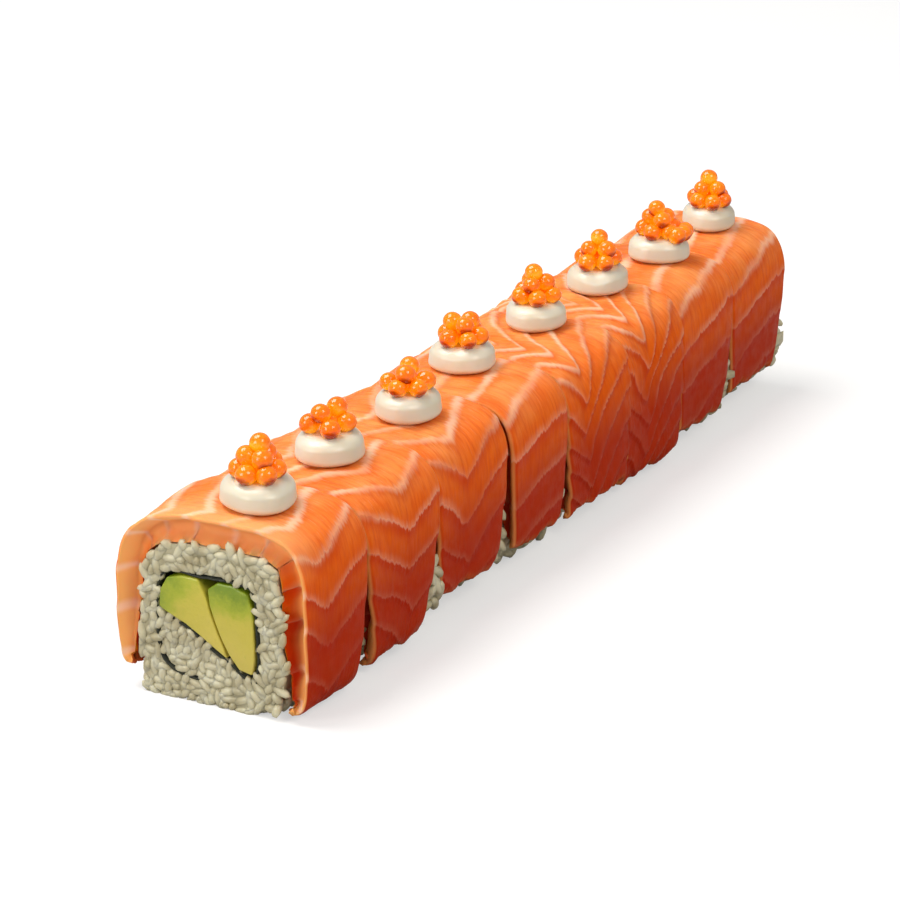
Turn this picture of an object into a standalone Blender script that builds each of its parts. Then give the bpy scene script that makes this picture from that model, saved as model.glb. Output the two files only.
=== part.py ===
"""A salmon-draped uramaki roll, cut into eight slices that stand in a row.

Each slice is a block of rice with a spiral sheet of nori and two sticks of avocado
running through it, a slab of salmon over the top and both flanks, a dollop of cream
and a pile of salmon roe. The row runs along Y, its first cut end faces -Y, and it
rests on Z = 0. Lengths are in metres.
"""

import math
import random
from collections import namedtuple

import bmesh
import bpy
import numpy as np

MM = 0.001
LEFT, RIGHT = 0, 1

# The whole row
SQUARENESS_TOP = (2.9, 4.2)
SQUARENESS_LOW = (4.2, 6.0)
SLICE_GAP = 0.5 * MM
TOUCH_GAP = 0.35 * MM

# One line for each slice, from the shown cut end to the far one. Sizes are in
# millimetres; the dollop's place along the slice is a share of its length. The pile
# is its pearls in the low ring, the middle ring, on top and spilt, and its turn.
Slice = namedtuple(
    "Slice",
    "length half_width height shift right_hem left_hem front_step end_step "
    "cream_x cream_along cream_radius pile",
)
SLICES = (
    Slice(22.5, 20.3, 36.2, 0.0, 0.9, 4.0, 0.0, 4.0, 4.6, 0.46, 6.9, (6, 3, 1, 0, 0.4)),
    Slice(28.0, 19.9, 36.3, 0.3, 2.0, 3.5, 2.6, 8.0, 3.6, 0.51, 6.8, (4, 2, 0, 0, 0.5)),
    Slice(28.5, 19.6, 36.6, -0.2, 5.4, 4.5, 0.8, 6.0, 5.3, 0.45, 6.4, (5, 2, 0, 0, 0.9)),
    Slice(23.5, 20.1, 37.0, 0.5, 5.8, 5.0, 0.4, 4.4, 1.2, 0.60, 6.6, (6, 3, 0, 0, 0.2)),
    Slice(28.5, 20.5, 37.6, 0.2, 4.6, 3.8, 1.4, 1.6, 2.5, 0.70, 6.6, (5, 3, 1, 0, 1.6)),
    Slice(28.0, 20.3, 38.2, -0.3, 1.8, 3.0, 0.5, 1.6, 3.5, 0.68, 6.7, (5, 3, 1, 0, 0.7)),
    Slice(28.0, 19.6, 38.3, 0.1, 4.8, 4.6, 0.6, 6.5, 5.0, 0.66, 6.6, (5, 3, 1, 3, 2.2)),
    Slice(29.0, 19.0, 38.4, 0.2, 6.2, 5.0, 1.2, 7.5, 4.5, 0.64, 6.1, (6, 3, 1, 0, 1.1)),
)

# Salmon
SALMON_THICKNESS = 5.4 * MM
SALMON_HEM_SHARE = 0.45
SALMON_TAPER = 15.0 * MM
SALMON_AROUND = 18
SALMON_ALONG = (0.0, 0.28, 0.62, 0.86, 1.0)
SALMON_SWELL = 0.9 * MM
SALMON_SWELL_SHARE = 0.8
SALMON_LIP = 1.1 * MM
SALMON_LIP_SHARE = 0.84
SALMON_DRAW_FROM = 1.15
SALMON_DRAW_POWER = 1.6
HEM_UNEVEN = (0.7 * MM, 0.9 * MM)
HEM_LEAST = 0.6 * MM

# Rice
RICE_POINTS = 26
RICE_INSET = 3.7 * MM
RICE_FLAT = 1.1 * MM
RICE_UNEVEN = 0.3 * MM
RICE_SQUARENESS_LOW = (5.0, 2.8)

# Nori and avocado: outlines of the cut face, in millimetres across and up
NORI_THICKNESS = 0.45 * MM
NORI_POINTS = 24
NORI_LINE = (
    (-8.2, 15.6),
    (-4.9, 14.3),
    (-0.1, 11.2),
    (3.9, 8.9),
    (8.6, 6.0),
    (9.6, 9.3),
    (9.5, 18.4),
    (8.9, 23.6),
    (5.6, 24.9),
    (-1.5, 24.7),
    (-8.4, 24.8),
    (-11.2, 21.9),
    (-11.5, 15.7),
    (-11.2, 8.8),
    (-8.2, 5.4),
    (-2.5, 4.5),
)
AVOCADO_PARTING = ((-1.6, 24.9), (-0.7, 20.9), (0.4, 17.4), (2.0, 13.5), (4.6, 8.2))
AVOCADO_POINTS = 28
FILLING_HEIGHT = 36.2 * MM

# Cream
CREAM_HEIGHT = 5.6 * MM
CREAM_DISH = 1.3 * MM
CREAM_EDGE_SHARE = 0.4
CREAM_DISH_SHARE = 0.55
CREAM_FULLNESS = 0.8
CREAM_UNDER = -0.5
CREAM_EDGE = 0.2
CREAM_FOOT_SHARE = 0.86
CREAM_SIDES = 12
CREAM_RINGS = 7

# Roe
PEARL_RADIUS = 1.95 * MM
PEARL_SINK = 0.4 * MM
PEARL_SCATTER = 0.08
LOW_RING = (3.5 * MM, 0.0)
HEART = (0.3 * MM, 0.3 * MM)
MIDDLE_RING = (2.15 * MM, 2.6 * MM)
TOP_RING = (0.6 * MM, 5.0 * MM)
TIER_TURN = 0.5
SPILT_WAY = -0.3
SPILT_TURN = 0.45
SPILT_OUT = 5.4 * MM
SPILT_STEP = 0.2 * MM
ROE_SPREAD = 1.2
ROE_SIDES = 14
ROE_RINGS = 8

# Colour, roughness
LOOKS = {
    "rice": ((0.72, 0.66, 0.52), 0.55),
    "nori": ((0.010, 0.014, 0.008), 0.6),
    "avocado": ((0.47, 0.50, 0.11), 0.45),
    "salmon": ((0.76, 0.20, 0.045), 0.3),
    "cream": ((0.90, 0.78, 0.58), 0.35),
    "roe": ((0.83, 0.17, 0.012), 0.12),
}


def clear_scene():
    for item in list(bpy.data.objects):
        bpy.data.objects.remove(item, do_unlink=True)


def collection_named(name):
    made = bpy.data.collections.new(name)
    bpy.context.scene.collection.children.link(made)
    return made


def material_named(kind):
    colour, roughness = LOOKS[kind]
    made = bpy.data.materials.new(kind)
    made.use_nodes = True
    shader = made.node_tree.nodes["Principled BSDF"]
    shader.inputs["Base Color"].default_value = (*colour, 1.0)
    shader.inputs["Roughness"].default_value = roughness
    shader.inputs["Metallic"].default_value = 0.0
    made.diffuse_color = (*colour, 1.0)
    return made


# ---------------------------------------------------------------- outlines


def signed_power(value, power):
    return np.sign(value) * np.abs(value) ** power


def arch_point(half_width, height, angle, lower=SQUARENESS_LOW):
    """A point of the slice's rounded-square section, by its angle from the right."""
    cosine, sine = np.cos(angle), np.sin(angle)
    top = np.where(cosine < 0.0, *SQUARENESS_TOP)
    low = np.where(cosine < 0.0, *lower)
    power = 2.0 / np.where(sine < 0.0, low, top)
    across = half_width * signed_power(cosine, power)
    up = 0.5 * height * (1.0 + signed_power(sine, power))
    return np.stack([across, up], axis=-1)


def hem_angle(height, hem, side):
    """How far below the middle, as an angle, the section comes down to the hem."""
    return math.asin((1.0 - 2.0 * hem / height) ** (SQUARENESS_LOW[side] / 2.0))


def evenly(points, count, closed=False):
    """The same line with its points at equal distances along it."""
    points = np.asarray(points, float)
    if closed:
        points = np.vstack([points, points[:1]])
    steps = np.linalg.norm(np.diff(points, axis=0), axis=1)
    along = np.concatenate([[0.0], np.cumsum(steps)])
    wanted = np.linspace(0.0, along[-1], count, endpoint=not closed)
    return np.stack([np.interp(wanted, along, column) for column in points.T], axis=-1)


def smooth_line(points, per_span=6):
    """A soft curve through the points (Catmull-Rom)."""
    points = np.asarray(points, float)
    padded = np.vstack([2 * points[0] - points[1], points, 2 * points[-1] - points[-2]])
    share = np.linspace(0.0, 1.0, per_span, endpoint=False)[:, None]
    spans = []
    for before, start, end, after in zip(padded, padded[1:], padded[2:], padded[3:]):
        bend = 2 * before - 5 * start + 4 * end - after
        twist = 3 * start - before - 3 * end + after
        spans.append(0.5 * (2 * start + (end - before) * share + bend * share**2 + twist * share**3))
    return np.vstack([*spans, points[-1:]])


def moved_sideways(line, distance):
    """The line moved to its right-hand side, or to its left by a negative distance."""
    forward = np.gradient(line, axis=0)
    forward /= np.linalg.norm(forward, axis=1)[:, None]
    return line + distance * np.stack([forward[:, 1], -forward[:, 0]], axis=-1)


def nearest(line, point):
    return int(np.argmin(np.linalg.norm(line - point, axis=1)))


def wave(place, phase):
    """An uneven wave between -1 and 1 that doesn't repeat within a slice."""
    return (np.sin(place + phase) + np.sin(1.7 * place + 2.3 * phase) + np.sin(3.1 * place + phase)) / 3.0


# ---------------------------------------------------------------- the slices


class Place:
    """Where one slice stands, and the shape of its outside."""

    def __init__(self, number, start, row):
        self.number = number
        self.row = row
        self.start = start + 0.5 * SLICE_GAP
        self.length = row.length * MM - SLICE_GAP
        self.is_last = number == len(SLICES)
        self.phase = 1.9 * number

    def swell(self, along):
        """How far the salmon stands out of its plain section, at a share of the length."""
        climb = np.clip(along / SALMON_SWELL_SHARE, 0.0, 1.0)
        rise = SALMON_SWELL * (0.5 - 0.5 * np.cos(math.pi * climb))
        if self.is_last:
            return rise
        past = np.clip((along - SALMON_LIP_SHARE) / (1.0 - SALMON_LIP_SHARE), 0.0, 1.0)
        return rise - SALMON_LIP * past**2

    def section(self, along, angle):
        grow = self.swell(along)
        point = arch_point(self.row.half_width * MM + grow, self.row.height * MM + grow, angle)
        return point + np.array([self.row.shift * MM, 0.0])

    def top(self, across, y):
        """Height of the salmon's outside above a point of the plan."""
        grow = self.swell((y - self.start) / self.length)
        half_width = self.row.half_width * MM + grow
        height = self.row.height * MM + grow
        share = (across - self.row.shift * MM) / half_width
        squareness = SQUARENESS_TOP[int(share > 0.0)]
        return 0.5 * height * (1.0 + (1.0 - min(abs(share), 1.0) ** squareness) ** (1.0 / squareness))

    def hem_heights(self, along):
        """Heights of the left and the right hem, uneven along the slice."""
        left = self.row.left_hem * MM + HEM_UNEVEN[LEFT] * wave(5.0 * along, self.phase)
        right = self.row.right_hem * MM + HEM_UNEVEN[RIGHT] * wave(6.0 * along, self.phase + 1.0)
        return max(left, HEM_LEAST), max(right, HEM_LEAST)

    def salmon_span(self, up):
        """Where the salmon starts and ends along the row; its ends draw in down the flanks."""
        drop = np.clip(SALMON_DRAW_FROM - up / (self.row.height * MM), 0.0, 1.0) ** SALMON_DRAW_POWER
        start = self.start + self.row.front_step * MM * drop
        return start, self.start + self.length - self.row.end_step * MM * drop


def salmon_fullness(rise):
    """Share of the full thickness at a height above the hem."""
    return SALMON_HEM_SHARE + (1.0 - SALMON_HEM_SHARE) * np.clip(rise / SALMON_TAPER, 0.0, 1.0)


def salmon_mesh(place):
    """The outer surface of the salmon: a grid bent over the slice."""
    bm = bmesh.new()
    bmesh.ops.create_grid(
        bm, x_segments=SALMON_AROUND - 1, y_segments=len(SALMON_ALONG) - 1, size=1.0
    )
    rows = []
    for along in SALMON_ALONG:
        left_hem, right_hem = place.hem_heights(along)
        height = place.row.height * MM
        from_angle = math.pi + hem_angle(height, left_hem, LEFT)
        angles = np.linspace(from_angle, -hem_angle(height, right_hem, RIGHT), 400)
        rows.append(evenly(place.section(along, angles), SALMON_AROUND))
    for vertex in bm.verts:
        column = round((vertex.co.x + 1.0) * 0.5 * (SALMON_AROUND - 1))
        row = round((vertex.co.y + 1.0) * 0.5 * (len(SALMON_ALONG) - 1))
        across, up = rows[row][column]
        front, end = place.salmon_span(up)
        vertex.co = (across, front + SALMON_ALONG[row] * (end - front), up)
    mesh = bpy.data.meshes.new(f"salmon_{place.number}")
    bm.to_mesh(mesh)
    bm.free()
    return mesh


def add_salmon(place, collection, material):
    mesh = salmon_mesh(place)
    item = bpy.data.objects.new(mesh.name, mesh)
    collection.objects.link(item)
    mesh.materials.append(material)
    mesh.shade_smooth()
    fullness = item.vertex_groups.new(name="fullness")
    left_end, right_end = place.row.left_hem * MM, place.row.right_hem * MM
    for vertex in mesh.vertices:
        hem = left_end if vertex.co.x < 0.0 else right_end
        fullness.add([vertex.index], float(salmon_fullness(vertex.co.z - hem)), "REPLACE")
    shell = item.modifiers.new("Solidify", "SOLIDIFY")
    shell.thickness = SALMON_THICKNESS
    shell.offset = -1.0
    shell.vertex_group = fullness.name
    return item


def kept_clear(ring, place):
    """The ring with its points moved in to where the salmon leaves room."""
    height = place.row.height * MM
    hem = min(place.row.left_hem, place.row.right_hem) * MM
    low_left, low_right = (hem_angle(height, 0.5 * MM, side) for side in (LEFT, RIGHT))
    for along in SALMON_ALONG:
        arch = place.section(along, np.linspace(-low_right, math.pi + low_left, 300))
        arch = evenly(evenly(arch, SALMON_AROUND), 200)
        room = SALMON_THICKNESS * salmon_fullness(arch[:, 1] - hem) + TOUCH_GAP
        apart = ring[:, None] - arch[None]
        distance = np.linalg.norm(apart, axis=2)
        worst = np.argmin(distance - room[None], axis=1)
        rows = np.arange(len(ring))
        away = apart[rows, worst] / distance[rows, worst][:, None]
        lack = np.clip(room[worst] - distance[rows, worst], 0.0, None)
        ring = ring + away * lack[:, None]
    return ring


def rice_outline(place):
    """The rice under the salmon, flat where it stands and uneven elsewhere."""
    half_width = place.row.half_width * MM - RICE_INSET
    height = place.row.height * MM - RICE_INSET + RICE_FLAT
    angles = np.linspace(-0.5 * math.pi, 1.5 * math.pi, 500, endpoint=False)
    ring = evenly(arch_point(half_width, height, angles, RICE_SQUARENESS_LOW), RICE_POINTS, closed=True)
    turns = np.linspace(0.0, 2.0 * math.pi, RICE_POINTS, endpoint=False)
    ring += np.array([place.row.shift * MM, -RICE_FLAT])
    ring = kept_clear(ring, place)
    ring[:, 0] *= 1.0 - RICE_UNEVEN / half_width * (0.5 + 0.5 * wave(4.0 * turns, place.phase))
    ring[:, 1] = np.maximum(ring[:, 1], 0.0)
    return ring


def fillings(place):
    """Outlines of the nori, the two avocado sticks and the hole that holds them."""
    scale = np.array([1.0, place.row.height * MM / FILLING_HEIGHT])
    shift = np.array([place.row.shift * MM, 0.0])
    line = evenly(smooth_line(np.array(NORI_LINE) * MM * scale + shift), NORI_POINTS)
    parting = evenly(smooth_line(np.array(AVOCADO_PARTING) * MM * scale + shift), 6)
    half = 0.5 * NORI_THICKNESS
    strip = np.vstack([moved_sideways(line, half), moved_sideways(line, -half)[::-1]])

    wide = half + TOUCH_GAP
    past_end = line[-1] + wide * (line[-1] - line[-2]) / np.linalg.norm(line[-1] - line[-2])
    turn = nearest(line[NORI_POINTS // 2 :], line[0]) + NORI_POINTS // 2
    outer = moved_sideways(line, wide)
    inner = moved_sideways(line, -wide)
    before_start = line[0] + wide * (line[0] - line[1]) / np.linalg.norm(line[0] - line[1])
    hole = np.vstack([outer, past_end[None], inner[turn:][::-1], before_start[None]])

    cell = np.vstack([inner[: turn + 1], before_start[None] + np.array([0.0, wide])])
    cell = evenly(cell, 4 * AVOCADO_POINTS, closed=True)
    first, second = sorted((nearest(cell, parting[0]), nearest(cell, parting[-1])))
    right_side = cell[first : second + 1]
    left_side = np.vstack([cell[second:], cell[: first + 1]])
    sticks = []
    for side, push in ((left_side, -1.0), (right_side, 1.0)):
        wall = moved_sideways(parting, -push * 0.5 * TOUCH_GAP)
        if np.linalg.norm(side[-1] - wall[0]) > np.linalg.norm(side[-1] - wall[-1]):
            wall = wall[::-1]
        sticks.append(evenly(np.vstack([side[2:-2], wall[1:-1]]), AVOCADO_POINTS // 2, closed=True))
    return strip, hole, sticks[0], sticks[1]


def add_prism(name, outlines, place, collection, material):
    """Closed outlines of the cut face, the later ones holes, run through the slice."""
    curve = bpy.data.curves.new(name, "CURVE")
    curve.dimensions = "2D"
    curve.fill_mode = "BOTH"
    curve.extrude = 0.5 * place.length
    for outline in outlines:
        spline = curve.splines.new("POLY")
        spline.points.add(len(outline) - 1)
        for point, (across, up) in zip(spline.points, outline):
            point.co = (across, up, 0.0, 1.0)
        spline.use_cyclic_u = True
    curve.materials.append(material)
    item = bpy.data.objects.new(name, curve)
    item.rotation_euler = (0.5 * math.pi, 0.0, 0.0)
    item.location = (0.0, place.start + 0.5 * place.length, 0.0)
    collection.objects.link(item)
    return item


class Dollop:
    """The cream of one slice: a low round blob with a dished top."""

    def __init__(self, place):
        self.place = place
        self.x = place.row.cream_x * MM
        self.y = place.start + place.row.cream_along * place.length
        self.radius = place.row.cream_radius * MM

    def reach(self, turn):
        """Radius of the blob in the direction of this angle."""
        phase = self.place.phase
        return self.radius * (1.0 + 0.035 * np.sin(2 * turn + phase) + 0.025 * np.sin(3 * turn + 2 * phase))

    def crown(self, share):
        """Height above the salmon at a share of the radius, on the upper side."""
        dome = (1.0 - np.clip(share, 0.0, 1.0) ** 3.0) ** 0.5
        side = CREAM_EDGE_SHARE + (1.0 - CREAM_EDGE_SHARE) * dome
        return CREAM_HEIGHT * side - CREAM_DISH * np.exp(-((share / CREAM_DISH_SHARE) ** 2))

    def surface(self, x, y):
        """Height of the cream's upper side above a point of the plan."""
        turn = math.atan2(y - self.y, x - self.x)
        share = math.hypot(x - self.x, y - self.y) / self.reach(turn)
        rise = self.crown(share) if share < 1.0 else 0.0
        return self.place.top(x, y) + TOUCH_GAP + rise


def add_blob(name, shape, sides, rings, collection, material):
    """A sphere whose points are moved by a function of their direction."""
    bm = bmesh.new()
    bmesh.ops.create_uvsphere(bm, u_segments=sides, v_segments=rings, radius=1.0)
    for vertex in bm.verts:
        vertex.co = shape(vertex.co.normalized())
    bmesh.ops.recalc_face_normals(bm, faces=bm.faces)
    mesh = bpy.data.meshes.new(name)
    bm.to_mesh(mesh)
    bm.free()
    mesh.materials.append(material)
    mesh.shade_smooth()
    item = bpy.data.objects.new(name, mesh)
    collection.objects.link(item)
    return item


def add_cream(dollop, collection, material):
    def shape(way):
        turn = math.atan2(way.y, way.x)
        flat = math.hypot(way.x, way.y)
        share = flat**CREAM_FULLNESS
        x = dollop.x + dollop.reach(turn) * share * math.cos(turn)
        y = dollop.y + dollop.reach(turn) * share * math.sin(turn)
        base = dollop.place.top(x, y) + TOUCH_GAP
        if way.z < CREAM_UNDER:
            x = dollop.x + (x - dollop.x) * CREAM_FOOT_SHARE
            y = dollop.y + (y - dollop.y) * CREAM_FOOT_SHARE
            return (x, y, dollop.place.top(x, y) + TOUCH_GAP)
        if way.z < CREAM_EDGE:
            climb = (way.z - CREAM_UNDER) / (CREAM_EDGE - CREAM_UNDER)
            return (x, y, base + CREAM_EDGE_SHARE * CREAM_HEIGHT * climb)
        return (x, y, base + dollop.crown(share))

    name = f"cream_{dollop.place.number}"
    return add_blob(name, shape, CREAM_SIDES, CREAM_RINGS, collection, material)


def pearl_centres(dollop):
    """The pearls of one pile: a low ring, a smaller ring on it and one on top."""
    chance = random.Random(40 + dollop.place.number)
    low, middle, top, spilt, turn = dollop.place.row.pile
    tiers = ((low, *LOW_RING), (1, *HEART), (middle, *MIDDLE_RING), (top, *TOP_RING))
    centres = []
    for number, radius, rise in tiers:
        for step in range(number):
            scatter = chance.uniform(-PEARL_SCATTER, PEARL_SCATTER)
            way = turn + 2.0 * math.pi * (step + scatter) / number
            out = radius * chance.uniform(0.92, 1.1)
            x = dollop.x + out * math.cos(way)
            y = dollop.y + out * math.sin(way)
            z = dollop.surface(x, y) + PEARL_RADIUS - PEARL_SINK + rise
            centres.append((x, y, z))
        turn += TIER_TURN
    for step in range(spilt):
        way = SPILT_WAY + SPILT_TURN * step
        out = SPILT_OUT + SPILT_STEP * step
        x = dollop.x + out * math.cos(way)
        y = dollop.y + out * math.sin(way)
        centres.append((x, y, dollop.surface(x, y) + PEARL_RADIUS - PEARL_SINK))
    return np.array(centres)


def add_roe(dollop, collection, material):
    """The pile of pearls out to its uneven outline."""
    centres = pearl_centres(dollop)
    middle = np.array([dollop.x, dollop.y, centres[:, 2].mean()])
    offsets = centres - middle

    def shape(way):
        ahead = offsets @ np.array(way)
        beside = np.sqrt(np.maximum((offsets**2).sum(axis=1) - ahead**2, 0.0))
        share = np.clip(1.0 - (beside / (ROE_SPREAD * PEARL_RADIUS)) ** 2, 0.0, 1.0)
        out = np.where(share > 0.0, ahead + PEARL_RADIUS * np.sqrt(share), 0.0)
        reach = max(float(out.max()), PEARL_RADIUS)
        x, y, z = middle + reach * np.array(way)
        return (x, y, max(z, dollop.surface(x, y) + TOUCH_GAP))

    name = f"roe_{dollop.place.number}"
    return add_blob(name, shape, ROE_SIDES, ROE_RINGS, collection, material)


def stand_on_base(items):
    """Moves the whole so that its box stands centred on the origin."""
    bpy.context.view_layer.update()
    graph = bpy.context.evaluated_depsgraph_get()
    corners = []
    for item in items:
        evaluated = item.evaluated_get(graph)
        mesh = evaluated.to_mesh()
        points = np.empty(len(mesh.vertices) * 3, np.float32)
        mesh.vertices.foreach_get("co", points)
        matrix = np.array(evaluated.matrix_world)
        world = points.reshape(-1, 3) @ matrix[:3, :3].T + matrix[:3, 3]
        corners += [world.min(axis=0), world.max(axis=0)]
        evaluated.to_mesh_clear()
    low, high = np.min(corners, axis=0), np.max(corners, axis=0)
    holder = bpy.data.objects.new("roll_origin", None)
    bpy.context.scene.collection.objects.link(holder)
    for item in items:
        item.parent = holder
    holder.location = (-0.5 * (low[0] + high[0]), -0.5 * (low[1] + high[1]), -low[2])


def build():
    clear_scene()
    roll = collection_named("uramaki_roll")
    materials = {kind: material_named(kind) for kind in LOOKS}
    items = []
    start = 0.0
    for number, row in enumerate(SLICES, start=1):
        place = Place(number, start, row)
        start += row.length * MM
        strip, hole, left_stick, right_stick = fillings(place)
        prisms = (
            ("rice", (rice_outline(place), hole)),
            ("nori", (strip,)),
            ("avocado_left", (left_stick,)),
            ("avocado_right", (right_stick,)),
        )
        for kind, outlines in prisms:
            material = materials[kind.split("_")[0]]
            items.append(add_prism(f"{kind}_{number}", outlines, place, roll, material))
        items.append(add_salmon(place, roll, materials["salmon"]))
        dollop = Dollop(place)
        items.append(add_cream(dollop, roll, materials["cream"]))
        items.append(add_roe(dollop, roll, materials["roe"]))
    stand_on_base(items)


build()
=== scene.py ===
"""A salmon-draped uramaki roll in eight slices, with cream and salmon roe.

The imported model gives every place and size. This script makes the fine surfaces of
the rice, nori, avocado, salmon, cream and roe, and a plain stage to show them on.
Lengths are in metres.
"""

import math
import random
from collections import namedtuple
from itertools import product

import bmesh
import bpy
import numpy as np
from mathutils import Euler, Matrix, Vector, noise


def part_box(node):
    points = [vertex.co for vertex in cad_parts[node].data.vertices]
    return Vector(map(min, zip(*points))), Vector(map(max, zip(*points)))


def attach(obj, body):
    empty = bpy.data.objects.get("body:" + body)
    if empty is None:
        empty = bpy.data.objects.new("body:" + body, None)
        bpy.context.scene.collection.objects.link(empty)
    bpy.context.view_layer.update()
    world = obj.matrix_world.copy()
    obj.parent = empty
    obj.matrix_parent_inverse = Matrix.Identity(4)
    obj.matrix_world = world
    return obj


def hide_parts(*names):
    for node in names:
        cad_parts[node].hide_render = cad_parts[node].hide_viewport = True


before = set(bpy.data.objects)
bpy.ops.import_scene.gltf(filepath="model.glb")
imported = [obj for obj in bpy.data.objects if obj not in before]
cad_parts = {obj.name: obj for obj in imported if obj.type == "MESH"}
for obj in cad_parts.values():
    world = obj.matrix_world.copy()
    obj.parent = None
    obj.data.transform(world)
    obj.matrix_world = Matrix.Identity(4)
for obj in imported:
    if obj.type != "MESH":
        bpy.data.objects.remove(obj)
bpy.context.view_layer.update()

bl_info = {
    "name": "Uramaki Roll",
    "version": (1, 0, 0),
    "blender": (4, 5, 0),
    "location": "3D View > Sidebar > Uramaki",
    "description": "Makes a salmon-draped uramaki roll in eight slices, with cream and roe",
    "category": "Add Mesh",
}

MM = 0.001
SLICE_COUNT = sum(name.startswith("salmon_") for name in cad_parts)
ROW_SHIFT = 0.5 * (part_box("salmon_1")[0][0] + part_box("salmon_1")[1][0])
LEFT, RIGHT = 0, 1

# The rounded-square section of a slice: how square its left and right corners are
SQUARENESS_TOP = (2.9, 4.2)
SQUARENESS_LOW = (4.2, 6.0)

# The salmon swells along each slice and turns in at a lip before the next one
SWELL = 0.9 * MM
SWELL_SHARE = 0.8
LIP = 0.5 * MM
LIP_SHARE = 0.16

# The salmon thins towards its hems, to this share of its thickness over this height
HEM_SHARE = 0.45
HEM_TAPER = 15.0 * MM
HEM_LEAST = 0.5 * MM

# The ends of the salmon draw in down the flanks from this share of the height
DRAW_FROM = 1.15
DRAW_POWER = 2.2

# How the salmon of each slice hangs and how its fat lines run. Hems, steps and line
# spacing are in millimetres. The lines run along the slice and fold at a share of
# its length: front_fold and back_fold are how steeply they climb away from there,
# lean is how far the fold moves along for each millimetre down the flank. Offset
# shifts the lines by a share of their spacing, and relief is the flakes' height.
Drape = namedtuple(
    "Drape",
    "right_hem left_hem front_step end_step "
    "spacing fold_at front_fold back_fold lean offset relief",
)
DRAPES = (
    Drape(0.9, 4.0, 0.0, 4.0, 8.2, 0.16, 0.90, 0.42, 0.10, 0.30, 0.22),
    Drape(2.0, 3.5, 2.6, 8.0, 7.8, 0.42, 0.85, 0.40, 0.10, 0.55, 0.34),
    Drape(5.4, 4.5, 0.8, 6.0, 8.4, 0.28, 1.00, 0.60, 0.08, 0.05, 0.30),
    Drape(5.8, 5.0, 0.4, 4.4, 9.0, -0.4, 0.30, 0.26, 0.00, 0.70, 0.10),
    Drape(4.6, 3.8, 1.4, 1.6, 6.6, 0.22, 1.30, 1.70, 0.05, 0.20, 0.50),
    Drape(1.8, 3.0, 0.5, 1.6, 6.4, 0.26, 1.40, 1.80, 0.05, 0.65, 0.50),
    Drape(4.8, 4.6, 0.6, 6.5, 9.0, -0.4, 0.30, 0.34, 0.00, 0.35, 0.12),
    Drape(6.2, 5.0, 1.2, 7.5, 8.6, -0.4, 0.30, 0.36, 0.00, 0.90, 0.12),
)

# The dollop and pearls of each slice. Across and radius are in millimetres, along is
# a share of the slice's length. The pile is its pearls in the low ring, the middle
# ring, on top and spilt, and its turn. The notch is the way and depth of a dent.
Topping = namedtuple("Topping", "across along radius pile notch")
TOPPINGS = (
    Topping(4.6, 0.46, 6.9, (6, 3, 1, 0, 0.4), (0.0, 0.0)),
    Topping(3.6, 0.51, 6.8, (4, 2, 0, 0, 0.5), (0.0, 0.0)),
    Topping(5.3, 0.45, 6.4, (5, 2, 0, 0, 0.9), (0.0, 0.0)),
    Topping(1.2, 0.60, 6.6, (6, 3, 0, 0, 0.2), (-1.3, 0.5)),
    Topping(2.5, 0.70, 6.6, (5, 3, 1, 0, 1.6), (-0.4, 0.35)),
    Topping(3.5, 0.68, 6.7, (5, 3, 1, 0, 0.7), (-1.2, 1.3)),
    Topping(5.0, 0.66, 6.6, (5, 3, 1, 3, 2.2), (0.3, 0.8)),
    Topping(4.5, 0.64, 6.1, (6, 3, 1, 0, 1.1), (-1.0, 0.5)),
)

# The nori's line on the cut face, in millimetres across and up, from its inner end,
# for a slice whose salmon is this high
NORI_LINE = (
    (-8.2, 15.6),
    (-4.9, 14.3),
    (-0.1, 11.2),
    (3.9, 8.9),
    (8.6, 6.0),
    (9.6, 9.3),
    (9.5, 18.4),
    (8.9, 23.6),
    (5.6, 24.9),
    (-1.5, 24.7),
    (-8.4, 24.8),
    (-11.2, 21.9),
    (-11.5, 15.7),
    (-11.2, 8.8),
    (-8.2, 5.4),
    (-2.5, 4.5),
)
NORI_LINE_HEIGHT = 36.2 * MM
NORI_LINE_POINTS = 150

# The hollow in the rice that holds the fillings: its half width, bottom and top
HOLLOW_HALF_WIDTH = 12.2 * MM
HOLLOW_LOW = 3.2 * MM
HOLLOW_HIGH = 26.5 * MM


def tone(red, green, blue):
    """A display colour, 0 to 255, as the linear colour that shaders take."""
    shares = [part / 255.0 for part in (red, green, blue)]
    return tuple(
        share / 12.92 if share <= 0.04045 else ((share + 0.055) / 1.055) ** 2.4 for share in shares
    )


# ------------------------------------------------------------------ settings


def length_setting(name, description, default):
    return bpy.props.FloatProperty(
        name=name, description=description, default=default, min=0.0, unit="LENGTH", precision=5
    )


def colour_setting(name, description, default):
    return bpy.props.FloatVectorProperty(
        name=name,
        description=description,
        default=default,
        size=3,
        min=0.0,
        max=1.0,
        subtype="COLOR",
    )


class UramakiSizes(bpy.types.PropertyGroup):
    """Sizes that can be changed before the roll is made."""

    salmon_thickness: length_setting("Salmon thickness", "Thickness of a fish slab", 5.4 * MM)
    nori_thickness: length_setting("Nori thickness", "Thickness of the seaweed sheet", 0.34 * MM)
    grain_length: length_setting("Grain length", "Length of a cooked rice grain", 5.2 * MM)
    grain_width: length_setting("Grain width", "Width of a cooked rice grain", 2.2 * MM)
    grain_pitch: length_setting("Grain pitch", "Least distance between grains", 1.6 * MM)
    cream_height: length_setting("Cream height", "Height of a cream dollop", 5.6 * MM)
    cream_dish: length_setting("Cream dish", "Depth of the dish that holds the roe", 1.3 * MM)
    pearl_radius: length_setting("Pearl radius", "Radius of a roe pearl", 1.95 * MM)


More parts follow.
